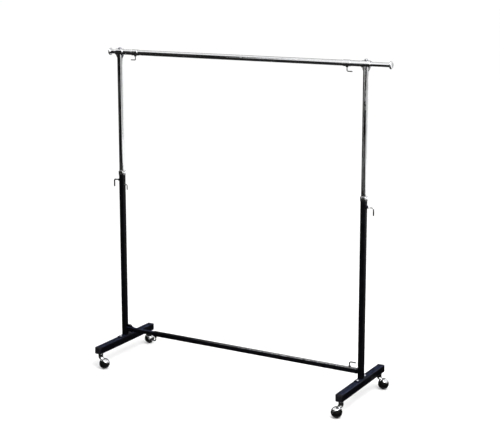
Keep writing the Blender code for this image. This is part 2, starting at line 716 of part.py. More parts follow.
def caster_wheel_mesh():
    """Half-ball wheel turned about its axle, local Z to its pole, with a blind bore for the axle.

    A conical tread band touches the ball where the wheel meets the floor, so that its flats lie
    level there.
    """
    contact = math.pi / 2 - HOOD_TILT
    half_band = math.radians(7)
    reach = BALL_RADIUS / math.cos(half_band)
    rim = BALL_RADIUS - GAP
    inner_face = 0.0008
    bore = AXLE_RADIUS + RUN_GAP
    bore_depth = 0.0190
    profile = [(0, bore_depth), (bore, bore_depth), (bore, inner_face), (rim, inner_face)]
    profile += [on_ball(rim, math.radians(76)), on_ball(rim, math.radians(61))]
    profile += [on_ball(reach, contact + half_band), on_ball(reach, contact - half_band)]
    profile += [on_ball(rim, math.radians(22)), on_ball(rim, math.radians(10)), (0, rim)]
    return turned(profile, name="wheel")


def casters(chrome, rubber, steel):
    hoods = {hand: caster_hood_mesh(hand) for hand in (-1, 1)}
    wheel = caster_wheel_mesh()
    stem = caster_stem_mesh()
    axle_at = (CASTER_TRAIL, 0, BALL_RADIUS)
    for place, (heading, hand) in CASTERS.items():
        end, side = place.split("_")
        y = (1 if end == "rear" else -1) * (FOOT_LENGTH / 2 - CASTER_INSET)
        at = (POST_X[side], y, 0)
        add_piece(f"{place}_stem", stem, steel, at)
        swivel = make_empty(f"{place}_swivel", at)
        swivel.rotation_euler.z = math.radians(heading)
        down_pole = (0, -hand * math.cos(HOOD_TILT), -math.sin(HOOD_TILT))
        lean = facing(down_pole, (0, -hand * math.sin(HOOD_TILT), math.cos(HOOD_TILT)))
        add_piece(f"{place}_hood", hoods[hand], chrome, parent=swivel)
        add_piece(f"{place}_wheel", wheel, rubber, axle_at, lean, swivel)


def build():
    clear_scene()
    black = make_material("black_coat", (0.012, 0.013, 0.022), 0.0, 0.32)
    chrome = make_material("chrome", (0.80, 0.81, 0.82), 1.0, 0.10)
    plastic = make_material("black_plastic", (0.016, 0.016, 0.020), 0.0, 0.45)
    rubber = make_material("black_rubber", (0.015, 0.015, 0.016), 0.0, 0.55)
    zinc = make_material("zinc_steel", (0.62, 0.63, 0.65), 1.0, 0.28)
    for side in SIDES:
        foot(side, black)
        post(side, black)
        post_flange(side, black)
    foot_caps(plastic)
    flange_bolts(zinc)
    post_locks(black, chrome)
    crossbar_supports(black)
    crossbar(black, chrome)
    upper_frame(chrome, plastic, zinc)
    casters(chrome, rubber, zinc)


build()
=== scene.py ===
"""Rolling garment rack: fine surfaces, finishes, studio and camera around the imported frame."""
import json
import math

import bmesh
import bpy
from mathutils import Matrix, Vector


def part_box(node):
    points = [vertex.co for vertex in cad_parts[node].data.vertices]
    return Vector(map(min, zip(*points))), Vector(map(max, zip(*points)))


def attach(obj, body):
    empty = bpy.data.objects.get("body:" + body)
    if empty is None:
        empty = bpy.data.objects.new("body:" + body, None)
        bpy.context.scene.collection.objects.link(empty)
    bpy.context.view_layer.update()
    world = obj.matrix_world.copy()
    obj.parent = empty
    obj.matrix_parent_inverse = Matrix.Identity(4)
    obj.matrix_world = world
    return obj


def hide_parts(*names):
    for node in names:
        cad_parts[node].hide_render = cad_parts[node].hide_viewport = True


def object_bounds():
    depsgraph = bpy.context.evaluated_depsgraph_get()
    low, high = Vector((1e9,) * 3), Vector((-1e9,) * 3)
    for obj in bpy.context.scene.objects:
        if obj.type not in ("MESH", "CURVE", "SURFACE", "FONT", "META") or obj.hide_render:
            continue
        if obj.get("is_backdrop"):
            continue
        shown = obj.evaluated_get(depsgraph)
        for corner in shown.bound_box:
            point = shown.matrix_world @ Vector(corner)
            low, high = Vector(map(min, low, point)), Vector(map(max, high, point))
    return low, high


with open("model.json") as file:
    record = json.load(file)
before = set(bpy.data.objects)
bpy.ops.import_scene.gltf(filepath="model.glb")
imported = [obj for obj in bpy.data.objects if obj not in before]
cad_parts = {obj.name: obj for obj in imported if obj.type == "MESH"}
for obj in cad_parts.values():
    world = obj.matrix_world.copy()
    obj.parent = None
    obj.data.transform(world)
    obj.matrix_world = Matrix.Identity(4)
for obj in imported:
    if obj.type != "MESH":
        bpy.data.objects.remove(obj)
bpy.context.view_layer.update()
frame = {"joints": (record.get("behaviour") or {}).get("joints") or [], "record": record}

JOINTS = {joint["name"]: joint for joint in frame["joints"]}
BODY_OF = {
    node: body for body, members in frame["record"]["behaviour"]["bodies"].items() for node in members
}
SIDES = {"left": -1, "right": 1}
CASTERS = ("front_left", "front_right", "rear_left", "rear_right")

# Walls and corners of the tubes, in metres
POST_WALL, POST_CORNER = 0.0015, 0.0040
UPRIGHT_WALL, UPRIGHT_CORNER = 0.0012, 0.0032
FOOT_WALL, FOOT_CORNER = 0.0020, 0.0032
STUB_WALL, STUB_CORNER = 0.0015, 0.0025
CROSSBAR_WALL, CROSSBAR_CORNER = 0.0015, 0.0035
RAIL_WALL, ROD_WALL = 0.0015, 0.0012

# Screws: radius and the heights on the stem between which the thread is cut
POST_SCREW = (0.0034, (0.0020, 0.0210))
RAIL_SCREW = (0.0025, (0.0015, 0.0130))
SIDE_SCREW = (0.0025, (0.0015, 0.0090))
CROSSBAR_SCREW = (0.0032, (0.0015, 0.0170))
THREAD_PITCH, THREAD_DEPTH = 0.0009, 0.0004

# Gap between neighbouring pieces, and the distance below which a boolean's points are merged
FIT = 0.0003
WELD = 2e-6

# Camera: where it stands, its turn in degrees, lens and sensor in millimetres, shift in frame widths
CAMERA_AT = (2.822, -4.874, 2.038)
CAMERA_PITCH, CAMERA_YAW = -10.29, 29.69
LENS, SENSOR, SHIFT = 87.55, 36.0, -0.1

# Studio: half the floor's side, its paint, the surroundings' strength and the soft lamp
FLOOR_HALF, FLOOR_TONE = 40.0, 0.93
SURROUND = 1.1
KEY_AT, KEY_AIM, KEY_SIZE, KEY_POWER = (2.5, -1.5, 4.2), (0, 0, 0.8), 3.0, 160.0


def middle(node):
    low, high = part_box(node)
    return (low + high) / 2


def span(node):
    low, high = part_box(node)
    return high - low


POST_X = {side: middle(f"{side}_post").x for side in SIDES}
RAIL_Z = middle("rail").z
RAIL_RADIUS = (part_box("rail")[1].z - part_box("rail")[0].z) / 2


# Mesh tools

def facing(z_dir, x_dir):
    """Turn that carries local Z to z_dir and local X to x_dir."""
    z_axis = Vector(z_dir).normalized()
    x_axis = Vector(x_dir).normalized()
    return Matrix((x_axis, z_axis.cross(x_axis), z_axis)).transposed().to_4x4()


def to_mesh(work, name):
    bmesh.ops.remove_doubles(work, verts=work.verts, dist=1e-7)
    bmesh.ops.recalc_face_normals(work, faces=work.faces)
    mesh = bpy.data.meshes.new(name)
    work.to_mesh(mesh)
    work.free()
    return mesh


def outline(width, depth, corner, z, steps=8):
    """Rectangle with rounded corners, anticlockwise."""
    points = []
    for quarter in range(4):
        centre_x = (width / 2 - corner) * (1, -1, -1, 1)[quarter]
        centre_y = (depth / 2 - corner) * (1, 1, -1, -1)[quarter]
        for step in range(steps + 1):
            angle = math.radians(90 * (quarter + step / steps))
            points.append((centre_x + corner * math.cos(angle), centre_y + corner * math.sin(angle), z))
    return points


def square(side, corner, z):
    """Square with rounded corners, anticlockwise."""
    return outline(side, side, corner, z)


def loft(rings, loop=False):
    """Skin through rings of equal length; a closed loop of rings makes a tube wall."""
    work = bmesh.new()
    loops = [[work.verts.new(point) for point in ring] for ring in rings]
    pairs = list(zip(loops, loops[1:]))
    if loop:
        pairs.append((loops[-1], loops[0]))
    else:
        work.faces.new(list(reversed(loops[0])))
        work.faces.new(loops[-1])
    for low, high in pairs:
        for i in range(len(low)):
            j = (i + 1) % len(low)
            work.faces.new((low[i], low[j], high[j], high[i]))
    return to_mesh(work, "loft")


def square_tube(side, wall, corner, bottom, top, edge=0.0004):
    """Square tube along Z with softened ends."""
    inside = side - 2 * wall
    inner_corner = max(corner - wall, 0.0008)
    rings = [
        square(side - 2 * edge, corner, bottom),
        square(side, corner, bottom + edge),
        square(side, corner, top - edge),
        square(side - 2 * edge, corner, top),
        square(inside, inner_corner, top),
        square(inside, inner_corner, bottom),
    ]
    return loft(rings, loop=True)


def turned(profile, sides=72):
    """Solid turned about Z from (radius, height) points; radius 0 at an end closes it there."""
    work = bmesh.new()
    rings = []
    for radius, height in profile:
        if radius < 1e-6:
            rings.append([work.verts.new((0, 0, height))])
            continue
        ring = []
        for i in range(sides):
            angle = 2 * math.pi * i / sides
            ring.append(work.verts.new((radius * math.cos(angle), radius * math.sin(angle), height)))
        rings.append(ring)
    pairs = list(zip(rings, rings[1:]))
    if len(rings[0]) > 1 or len(rings[-1]) > 1:
        pairs.append((rings[-1], rings[0]))
    for low, high in pairs:
        for i in range(sides):
            j = (i + 1) % sides
            ring = [low[i % len(low)], low[j % len(low)], high[j % len(high)], high[i % len(high)]]
            unique = list(dict.fromkeys(ring))
            if len(unique) > 2:
                work.faces.new(unique)
    return to_mesh(work, "turned")


def drum(radius, low, high, sides=32):
    """Solid cylinder along Z."""
    return turned([(0, low), (radius, low), (radius, high), (0, high)], sides)


def arc(centre, radius, start, end, steps):
    """Profile points along an arc, angles in degrees from the radial direction towards up."""
    points = []
    for i in range(steps + 1):
        angle = math.radians(start + (end - start) * i / steps)
        points.append((centre[0] + radius * math.cos(angle), centre[1] + radius * math.sin(angle)))
    return points


def carved(mesh, steps):
    """Boolean steps on a mesh, as (operation, mesh, placing), baked into a new mesh."""
    collection = bpy.context.scene.collection
    base = bpy.data.objects.new("base", mesh)
    collection.objects.link(base)
    tools = []
    for operation, tool_mesh, placing in steps:
        tool = bpy.data.objects.new("tool", tool_mesh)
        collection.objects.link(tool)
        tool.matrix_world = placing
        tools.append(tool)
        modifier = base.modifiers.new(operation, "BOOLEAN")
        modifier.operation = operation
        modifier.object = tool
    bpy.context.view_layer.update()
    work = bmesh.new()
    work.from_object(base, bpy.context.evaluated_depsgraph_get())
    for thing in [base, *tools]:
        bpy.data.objects.remove(thing, do_unlink=True)
    bmesh.ops.remove_doubles(work, verts=work.verts, dist=WELD)
    bmesh.ops.dissolve_degenerate(work, edges=work.edges, dist=WELD)
    result = bpy.data.meshes.new("carved")
    work.to_mesh(result)
    work.free()
    return result


def piece(node, mesh, material, placing=None, smooth=32):
    """A fine piece that stands for one CAD node and rides on its body."""
    mesh = mesh.copy()
    mesh.transform(placing or Matrix())
    mesh.materials.clear()
    mesh.materials.append(material)
    mesh.shade_smooth()
    mesh.set_sharp_from_angle(angle=math.radians(smooth))
    made = bpy.data.objects.new(f"{node}_fine", mesh)
    bpy.context.scene.collection.objects.link(made)
    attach(made, BODY_OF[node])
    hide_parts(node)
    return made


# Finishes

def node_material(name):
    material = bpy.data.materials.new(name)
    material.use_nodes = True
    tree = material.node_tree
    return material, tree, tree.nodes["Principled BSDF"]


def object_coords(tree, scale=(1, 1, 1)):
    coords = tree.nodes.new("ShaderNodeTexCoord")
    mapping = tree.nodes.new("ShaderNodeMapping")
    mapping.inputs["Scale"].default_value = scale
    tree.links.new(coords.outputs["Object"], mapping.inputs["Vector"])
    return mapping.outputs["Vector"]


def noise(tree, vector, scale, detail=4.0, roughness=0.55):
    texture = tree.nodes.new("ShaderNodeTexNoise")
    texture.inputs["Scale"].default_value = scale
    texture.inputs["Detail"].default_value = detail
    texture.inputs["Roughness"].default_value = roughness
    tree.links.new(vector, texture.inputs["Vector"])
    return texture.outputs["Fac"]


def remap(tree, value, from_low, from_high, to_low, to_high):
    node = tree.nodes.new("ShaderNodeMapRange")
    node.inputs["From Min"].default_value = from_low
    node.inputs["From Max"].default_value = from_high
    node.inputs["To Min"].default_value = to_low
    node.inputs["To Max"].default_value = to_high
    tree.links.new(value, node.inputs["Value"])
    return node.outputs["Result"]


def ramp(tree, value, stops):
    node = tree.nodes.new("ShaderNodeValToRGB")
    elements = node.color_ramp.elements
    while len(elements) < len(stops):
        elements.new(0.5)
    for element, (position, colour) in zip(elements, stops):
        element.position = position
        element.color = (*colour, 1.0)
    tree.links.new(value, node.inputs["Fac"])
    return node.outputs["Color"]


def bump(tree, shader, heights):
    """Chain of bumps from (height output, strength, distance)."""
    last = None
    for height, strength, distance in heights:
        node = tree.nodes.new("ShaderNodeBump")
        node.inputs["Strength"].default_value = strength
        node.inputs["Distance"].default_value = distance
        tree.links.new(height, node.inputs["Height"])
        if last is not None:
            tree.links.new(last, node.inputs["Normal"])
        last = node.outputs["Normal"]
    tree.links.new(last, shader.inputs["Normal"])


def chrome_finish(name, stretch, dull=0.82, bright=0.96):
    """Bright plate over polished tube: faint draw lines along the tube, waves and thin smears."""
    material, tree, shader = node_material(name)
    even = object_coords(tree)
    along = object_coords(tree, stretch)
    smear = noise(tree, even, 26.0, 5.0)
    lines = noise(tree, along, 900.0, 3.0)
    waves = noise(tree, even, 55.0, 2.0)
    smeared = (dull, dull * 1.01, dull * 1.03)
    clean = (bright, bright, bright * 1.01)
    colour = ramp(tree, smear, [(0.30, smeared), (0.70, clean)])
    tree.links.new(colour, shader.inputs["Base Color"])
    shader.inputs["Metallic"].default_value = 1.0
    tree.links.new(remap(tree, smear, 0.35, 0.75, 0.03, 0.11), shader.inputs["Roughness"])
    bump(tree, shader, [(waves, 0.22, 0.0009), (lines, 0.12, 0.00004)])
    return material


def coat_finish(name, sheen_and_dust, sheen_fade=None):
    """Black powder coat: orange peel and blue-black mottle, with a painted top-lit sheen where it faces up,
    broken by scuff noise like wear.

    A ramp from one X to another lets the painted sheen come in along a bar.
    """
    material, tree, shader = node_material(name)
    even = object_coords(tree)
    peel = noise(tree, even, 700.0, 2.0)
    patches = noise(tree, even, 34.0, 5.0)
    specks = noise(tree, even, 2600.0, 1.0)
    scuffs = noise(tree, object_coords(tree, (1, 0.35, 1)), 160.0, 4.0, 0.7)
    geometry = tree.nodes.new("ShaderNodeNewGeometry")
    split = tree.nodes.new("ShaderNodeSeparateXYZ")
    tree.links.new(geometry.outputs["Normal"], split.inputs["Vector"])
    # Painted top light: faces that look up take a painted sheen colour, the highlight light from above would
    # give, broken up by scuff noise like wear
    upward = remap(tree, split.outputs["Z"], 0.35, 1.0, 0.0, 1.0)
    sheen_and_dust_mask = tree.nodes.new("ShaderNodeMath")
    sheen_and_dust_mask.operation = "MULTIPLY"
    tree.links.new(upward, sheen_and_dust_mask.inputs[0])
    tree.links.new(remap(tree, scuffs, 0.42, 0.62, 0.15, 1.0), sheen_and_dust_mask.inputs[1])
    amount = sheen_and_dust_mask.outputs[0]
    # Painted highlight along the bar: the sheen on its top comes in along X, full towards its right end
    if sheen_fade:
        place = tree.nodes.new("ShaderNodeSeparateXYZ")
        tree.links.new(even, place.inputs["Vector"])
        along = tree.nodes.new("ShaderNodeMath")
        along.operation = "MULTIPLY"
        tree.links.new(amount, along.inputs[0])
        tree.links.new(remap(tree, place.outputs["X"], *sheen_fade, 0.0, 1.0), along.inputs[1])
        amount = along.outputs[0]
    # Coat colour without the painted sheen
    clean = ramp(tree, patches, [(0.3, (0.0008, 0.0009, 0.0016)), (0.7, (0.0018, 0.0019, 0.0034))])
    mix = tree.nodes.new("ShaderNodeMix")
    mix.data_type = "RGBA"
    tree.links.new(amount, mix.inputs["Factor"])
    colour_in = [socket for socket in mix.inputs if socket.name in ("A", "B") and socket.type == "RGBA"]
    colour_out = [socket for socket in mix.outputs if socket.type == "RGBA"][0]
    colour_in[1].default_value = (*sheen_and_dust, 1.0)
    tree.links.new(clean, colour_in[0])
    tree.links.new(colour_out, shader.inputs["Base Color"])
    tree.links.new(remap(tree, patches, 0.3, 0.7, 0.30, 0.44), shader.inputs["Roughness"])
    shader.inputs["Specular IOR Level"].default_value = 0.16
    bump(tree, shader, [(peel, 0.22, 0.00020), (specks, 0.10, 0.00005)])
    return material


def moulded_finish(name, dark, light, rough, grain):
    """Moulded plastic or rubber: mottled tone and roughness, and fine grain."""
    material, tree, shader = node_material(name)
    even = object_coords(tree)
    mottle = noise(tree, even, 60.0, 5.0)
    fine = noise(tree, even, grain, 2.0)
    tree.links.new(ramp(tree, mottle, [(0.3, dark), (0.7, light)]), shader.inputs["Base Color"])
    tree.links.new(remap(tree, mottle, 0.3, 0.7, rough - 0.08, rough + 0.08), shader.inputs["Roughness"])
    shader.inputs["Specular IOR Level"].default_value = 0.15
    bump(tree, shader, [(fine, 0.30, 0.00015)])
    return material


def zinc_finish():
    """Bright zinc plate: cool spangle and turning marks."""
    material, tree, shader = node_material("zinc_steel_finish")
    even = object_coords(tree)
    spangle = noise(tree, even, 420.0, 3.0)
    fine = noise(tree, even, 1800.0, 2.0)
    colour = ramp(tree, spangle, [(0.3, (0.42, 0.43, 0.46)), (0.7, (0.68, 0.69, 0.72))])
    tree.links.new(colour, shader.inputs["Base Color"])
    shader.inputs["Metallic"].default_value = 1.0
    tree.links.new(remap(tree, spangle, 0.3, 0.7, 0.20, 0.36), shader.inputs["Roughness"])
    bump(tree, shader, [(fine, 0.25, 0.00005)])
    return material


CHROME_Z = chrome_finish("chrome_upright_finish", (1, 1, 0.02))
CHROME_X = chrome_finish("chrome_rail_finish", (0.02, 1, 1))
CHROME = chrome_finish("chrome_small_finish", (1, 1, 1))
# Darkened chrome for the screws: painted shade, a dark reflection given as base colour
SHADED_SCREW_CHROME = chrome_finish("chrome_screw_painted_shade_finish", (1, 1, 1), 0.07, 0.30)
# Navy painted sheen on faces that look up, partly broken by scuffs like wear
COAT = coat_finish("black_coat_finish", (0.022, 0.029, 0.060))
# Grey painted highlight on the crossbar's top, coming in along X towards its right end
BAR_COAT = coat_finish("crossbar_coat_painted_sheen_finish", (0.34, 0.34, 0.35), (-0.30, 0.20))
PLASTIC = moulded_finish("black_plastic_finish", (0.0035, 0.0036, 0.0050), (0.0080, 0.0082, 0.0115),
                         0.42, 1500.0)
RUBBER = moulded_finish("black_rubber_finish", (0.0008, 0.0008, 0.0009), (0.0030, 0.0030, 0.0032),
                        0.52, 1100.0)
ZINC = zinc_finish()


# Square tubes

def straight_tube(node, wall, corner, material, along="z"):
    """Square tube that fills its CAD box along one axis."""
    low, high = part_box(node)
    centre = middle(node)
    size = span(node)
    if along == "z":
        mesh = square_tube(size.y, wall, corner, low.z, high.z)
        piece(node, mesh, material, Matrix.Translation((centre.x, 0, 0)))
        return
    if along == "x":
        side, length, turn = size.y, size.x, facing((1, 0, 0), (0, 1, 0))
    else:
        side, length, turn = size.x, size.y, facing((0, 1, 0), (0, 0, 1))
    mesh = square_tube(side, wall, corner, -length / 2, length / 2)
    piece(node, mesh, material, Matrix.Translation(centre) @ turn)


for side in SIDES:
    straight_tube(f"{side}_post", POST_WALL, POST_CORNER, COAT)
    straight_tube(f"{side}_upright", UPRIGHT_WALL, UPRIGHT_CORNER, CHROME_Z)
    straight_tube(f"{side}_foot", FOOT_WALL, FOOT_CORNER, COAT, "y")
    straight_tube(f"{side}_crossbar_stub", STUB_WALL, STUB_CORNER, COAT, "x")


# Collars at the posts' tops

def collar():
    """Cap over the post's end: rounded outside, narrow round the upright and wide round the post."""
    low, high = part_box("left_post_collar")
    side = high.y - low.y
    edge, corner, steps = 0.0018, 0.0060, 5
    upright_bore, post_bore, skirt = 0.0224, 0.0260, 0.0173
    ledge = low.z + skirt
    rings = [square(side - 0.0020, 0.0052, low.z)]
    for i in range(steps + 1):
        angle = math.radians(90 * i / steps)
        cut = 2 * edge * (1 - math.sin(angle))
        rings.append(square(side - cut * 0.6, corner, low.z + edge * (1 - math.cos(angle))))
    for i in range(steps + 1):
        angle = math.radians(90 * i / steps)
        cut = 2 * edge * (1 - math.cos(angle))
        rings.append(square(side - cut, corner - cut * 0.3, high.z - edge * (1 - math.sin(angle))))
    for bore, bore_corner, start, end in ((upright_bore, UPRIGHT_CORNER, high.z, ledge),
                                          (post_bore, POST_CORNER, ledge, low.z)):
        rings += [square(bore, bore_corner, start), square(bore, bore_corner, end)]
    return loft(rings, loop=True)


collar_mesh = collar()
for side in SIDES:
    piece(f"{side}_post_collar", collar_mesh, CHROME, Matrix.Translation((POST_X[side], 0, 0)), 50)


# Lock screws and their bosses

def bent_screw(radius, stem, handle, thread_from, thread_to):
    """L-handle screw on local Z from 0, thread cut between two heights, handle along local +X."""
    bend, tip = 2.2 * radius, 0.8 * radius
    sides, bend_steps, tip_steps = 28, 10, 5
    chamfer, point, blunt = 0.0006, 0.75, 0.12
    path = [(0, 0.0, 0.0), (0, chamfer, 0.0)]
    steps = max(8, int((thread_to - thread_from) / THREAD_PITCH * 6))
    for i in range(steps + 1):
        path.append((0, thread_from + (thread_to - thread_from) * i / steps, 0.0))
    path.append((0, stem - bend, 0.0))
    for i in range(1, bend_steps + 1):
        angle = math.radians(90 / bend_steps * i)
        path.append((bend - bend * math.cos(angle), stem - bend + bend * math.sin(angle), angle))
    path += [(handle - tip, stem, math.pi / 2)]
    for i in range(1, tip_steps + 1):
        path.append((handle - tip * (1 - math.sin(math.radians(90 / tip_steps * i))), stem, math.pi / 2))
    rings = []
    tip_start = len(path) - 1 - tip_steps
    for index, (x, z, lean) in enumerate(path):
        size = radius * (point if index == 0 else 1.0)
        if index > tip_start:
            size = radius * max(math.cos(math.radians(90 / tip_steps * (index - tip_start))), blunt)
        ring = []
        for i in range(sides):
            around = 2 * math.pi * i / sides
            cut = 0.0
            if lean == 0.0 and thread_from < z < thread_to:
                phase = (z / THREAD_PITCH - i / sides) % 1.0
                cut = THREAD_DEPTH * (1 - abs(2 * phase - 1))
            across = (size - cut) * math.cos(around)
            ring.append((x + across * math.cos(lean), (size - cut) * math.sin(around),
                         z - across * math.sin(lean)))
        rings.append(ring)
    return loft(rings)


def screw(node, size, outward, handle_dir):
    """Places an L-handle screw by its CAD box: from its tip, out along outward, then along the handle."""
    radius, (thread_from, thread_to) = size
    low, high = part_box(node)
    out = Vector(outward)
    lever = Vector(handle_dir)
    stem_span = abs((high - low).dot(out)) - radius
    handle_span = abs((high - low).dot(lever)) - radius
    start = [0.0, 0.0, 0.0]
    for axis in range(3):
        if out[axis]:
            start[axis] = low[axis] if out[axis] > 0 else high[axis]
        elif lever[axis]:
            start[axis] = low[axis] + radius if lever[axis] > 0 else high[axis] - radius
        else:
            start[axis] = (low[axis] + high[axis]) / 2
    mesh = bent_screw(radius, stem_span, handle_span, thread_from, thread_to)
    # Screws other than the right post's take the darkened chrome, painted shade
    finish = CHROME if node == "right_post_screw" else SHADED_SCREW_CHROME
    piece(node, mesh, finish, Matrix.Translation(start) @ facing(outward, handle_dir), 60)


def boss(base, tip, height, bore):
    """Conical threaded boss with a weld fillet round its base and a chamfered mouth."""
    weld, edge, chamfer = 0.0012, 0.0010, 0.0006
    profile = [(bore, 0)] + arc((base - weld, weld), weld, -90, 0, 4)
    profile += [(tip + weld, height * 0.45), (tip, height * 0.6)]
    profile += arc((tip - edge, height - edge), edge, 0, 90, 5)
    profile += [(bore + chamfer, height), (bore, height - chamfer)]
    return turned(profile, 48)


post_boss = boss(0.0110, 0.0058, 0.0095, 0.0039)
for side, outward in SIDES.items():
    low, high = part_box(f"{side}_post_boss")
    face = low.x if outward > 0 else high.x
    seat = Matrix.Translation((face, 0, (low.z + high.z) / 2))
    piece(f"{side}_post_boss", post_boss, COAT, seat @ facing((outward, 0, 0), (0, 0, 1)), 50)
    screw(f"{side}_post_screw", POST_SCREW, (outward, 0, 0), (0, 0, -1))
    screw(f"{side}_rail_screw", RAIL_SCREW, (0, 0, -1), (outward, 0, 0))
screw("left_side_screw", SIDE_SCREW, (1, 0, 0), (0, 0, -1))
screw("left_crossbar_screw", CROSSBAR_SCREW, (0, 0, -1), (-1, 0, 0))
screw("right_crossbar_screw", CROSSBAR_SCREW, (0, 0, 1), (1, 0, 0))


# Rail, rods and end caps

ALONG_X = facing((1, 0, 0), (0, 1, 0))
DOWN = facing((0, 0, -1), (1, 0, 0))


def round_tube(radius, wall, length, edge=0.0004):
    """Round tube along Z with softened ends, centred on the origin."""
    inner = radius - wall
    half = length / 2
    outside = [(radius - edge, -half), (radius, -half + edge), (radius, half - edge), (radius - edge, half)]
    bore = [(inner + edge, half), (inner, half - edge)]
    return turned([(inner, -half + edge), (inner + edge, -half), *outside, *bore], 96)


def softened(mesh, width, segments=2):
    """Rounds the sharp edges of a closed mesh."""
    thing = bpy.data.objects.new("soften", mesh)
    bpy.context.scene.collection.objects.link(thing)
    bevel = thing.modifiers.new("bevel", "BEVEL")
    bevel.width = width
    bevel.segments = segments
    bevel.limit_method = "ANGLE"
    bevel.angle_limit = math.radians(40)
    bpy.context.view_layer.update()
    result = bpy.data.meshes.new_from_object(thing.evaluated_get(bpy.context.evaluated_depsgraph_get()))
    bpy.data.objects.remove(thing, do_unlink=True)
    return result


def straight_round(node, wall, material):
    """Round tube along X that fills its CAD box."""
    low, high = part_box(node)
    mesh = round_tube((high.z - low.z) / 2, wall, high.x - low.x)
    piece(node, mesh, material, Matrix.Translation((low + high) / 2) @ ALONG_X)


def end_cap():
    """Disc with a raised rim and a turned groove round its edge; outward is +Z, its face on z = 0."""
    profile = [(0, -0.0007), (0.0095, -0.0006), (0.0112, -0.0002)]
    profile += arc((0.0136, -0.0044), 0.0044, 90, 0, 10)
    profile += [(0.0176, -0.0047), (0.0176, -0.0053), (0.0180, -0.0056)]
    profile += arc((0.0146, -0.0056), 0.0034, 0, -80, 8)
    profile += [(0.0140, -0.0090), (0.0108, -0.0090), (0.0103, -0.0085), (0.0103, -0.0027), (0, -0.0027)]
    return turned(profile, 96)


def rod_plug():
    """Grooved plug that joins an end cap to its rod, inward from z = 0."""
    profile = [(0, 0), (0.0098, 0)] + arc((0.0100, 0.0010), 0.0010, -90, 0, 3)
    profile += [(0.0110, 0.0030), (0.0107, 0.0034), (0.0107, 0.0046), (0.0110, 0.0050), (0.0110, 0.0080)]
    profile += [(0.0085, 0.0080), (0.0085, 0.0230), (0.0078, 0.0240), (0, 0.0240)]
    return turned(profile, 48)


straight_round("rail", RAIL_WALL, CHROME_X)
cap_mesh = end_cap()
plug_mesh = rod_plug()
for side, outward in SIDES.items():
    straight_round(f"{side}_extension_rod", ROD_WALL, CHROME_X)
    turn = facing((outward, 0, 0), (0, 1, 0))
    low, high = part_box(f"{side}_end_cap")
    face = high.x if outward > 0 else low.x
    piece(f"{side}_end_cap", cap_mesh, CHROME, Matrix.Translation((face, 0, RAIL_Z)) @ turn)
    low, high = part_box(f"{side}_rod_plug")
    tail = low.x if outward > 0 else high.x
    piece(f"{side}_rod_plug", plug_mesh, PLASTIC, Matrix.Translation((tail, 0, RAIL_Z)) @ turn)


# Tees, their screws and the rail's sleeves

def rolled_sleeve(outer, inner, half, lip):
    """Sleeve along X with rolled ends and a shallow turned line inside each."""
    groove = outer - 0.0003
    profile = [(inner, -half)] + arc((outer - lip, -half + lip), lip, -90, 0, 5)
    profile += [(outer, -half + 3 * lip), (groove, -half + 3.4 * lip), (groove, half - 3.4 * lip)]
    profile += [(outer, half - 3 * lip)] + arc((outer - lip, half - lip), lip, 0, 90, 5) + [(inner, half)]
    mesh = turned(profile, 96)
    mesh.transform(ALONG_X)
    return mesh


def plate(points, thickness):
    """Flat plate in the XZ plane, centred on y = 0."""
    work = bmesh.new()
    base = work.faces.new([work.verts.new((x, -thickness / 2, z)) for x, z in points])
    grown = bmesh.ops.extrude_face_region(work, geom=[base])
    raised = [item for item in grown["geom"] if isinstance(item, bmesh.types.BMVert)]
    bmesh.ops.translate(work, vec=(0, thickness, 0), verts=raised)
    return to_mesh(work, "plate")


def tee():
    """Sleeve round the rail, a square leg flush with the upright and curved shoulders between them."""
    outer = RAIL_RADIUS + 0.0026
    bore = RAIL_RADIUS + FIT
    leg_side = 0.0214
    leg = loft([square(leg_side, UPRIGHT_CORNER, z) for z in (-0.053, -0.002)])
    spigot_side, spigot_corner = leg_side - 0.003, 0.002
    spigot_levels = ((leg_side - 0.005, -0.083), (spigot_side, -0.081), (spigot_side, -0.051))
    spigot = loft([square(across, spigot_corner, z) for across, z in spigot_levels])
    reach, waist, toe = 0.021, 0.012, -0.034
    shoulder = [(reach, -outer + 0.0025)]
    for i in range(1, 8):
        bend = math.radians(90 * i / 7)
        rise = 0.0209 * (1 - math.sin(bend)) * math.cos(bend)
        shoulder.append((reach - waist * math.sin(bend), toe + rise))
    brace = plate([(-x, z) for x, z in shoulder] + list(reversed(shoulder)), 0.012)
    clear = drum(bore, -0.05, 0.05, 96)
    clear.transform(ALONG_X)
    return carved(rolled_sleeve(outer, bore, 0.022, 0.0008), [
        ("UNION", leg, Matrix()),
        ("UNION", brace, Matrix()),
        ("UNION", spigot, Matrix()),
        ("DIFFERENCE", clear, Matrix()),
        ("DIFFERENCE", drum(0.0028, 0.010, 0.020), Matrix()),
    ])


def cross_recess(depth, reach, top):
    """Crossed slots cut down from a screw head's top."""
    steps = []
    for quarter in range(2):
        slot = loft([outline(2 * reach, 0.0011, 0.0002, z, 2) for z in (top - depth, top + 0.002)])
        steps.append(("DIFFERENCE", slot, Matrix.Rotation(math.radians(90 * quarter + 20), 4, "Z")))
    return steps


def tee_screw():
    """Domed screw with a crossed recess, through the top of the tee."""
    seat = RAIL_RADIUS + 0.0029
    shank, head, brim, crown = 0.0024, 0.0085, 0.0176, 0.0230
    profile = [(0, 0.0118), (shank - 0.0002, 0.0118), (shank, 0.0121), (shank, seat), (head - 0.0002, seat)]
    profile += [(head, seat + 0.0002), (head, brim)]
    for i in range(1, 9):
        bend = math.radians(90 * i / 9)
        profile.append((head * math.cos(bend), brim + (crown - brim) * math.sin(bend)))
    profile.append((0, crown))
    return carved(turned(profile, 64), cross_recess(0.0018, 0.0028, crown))


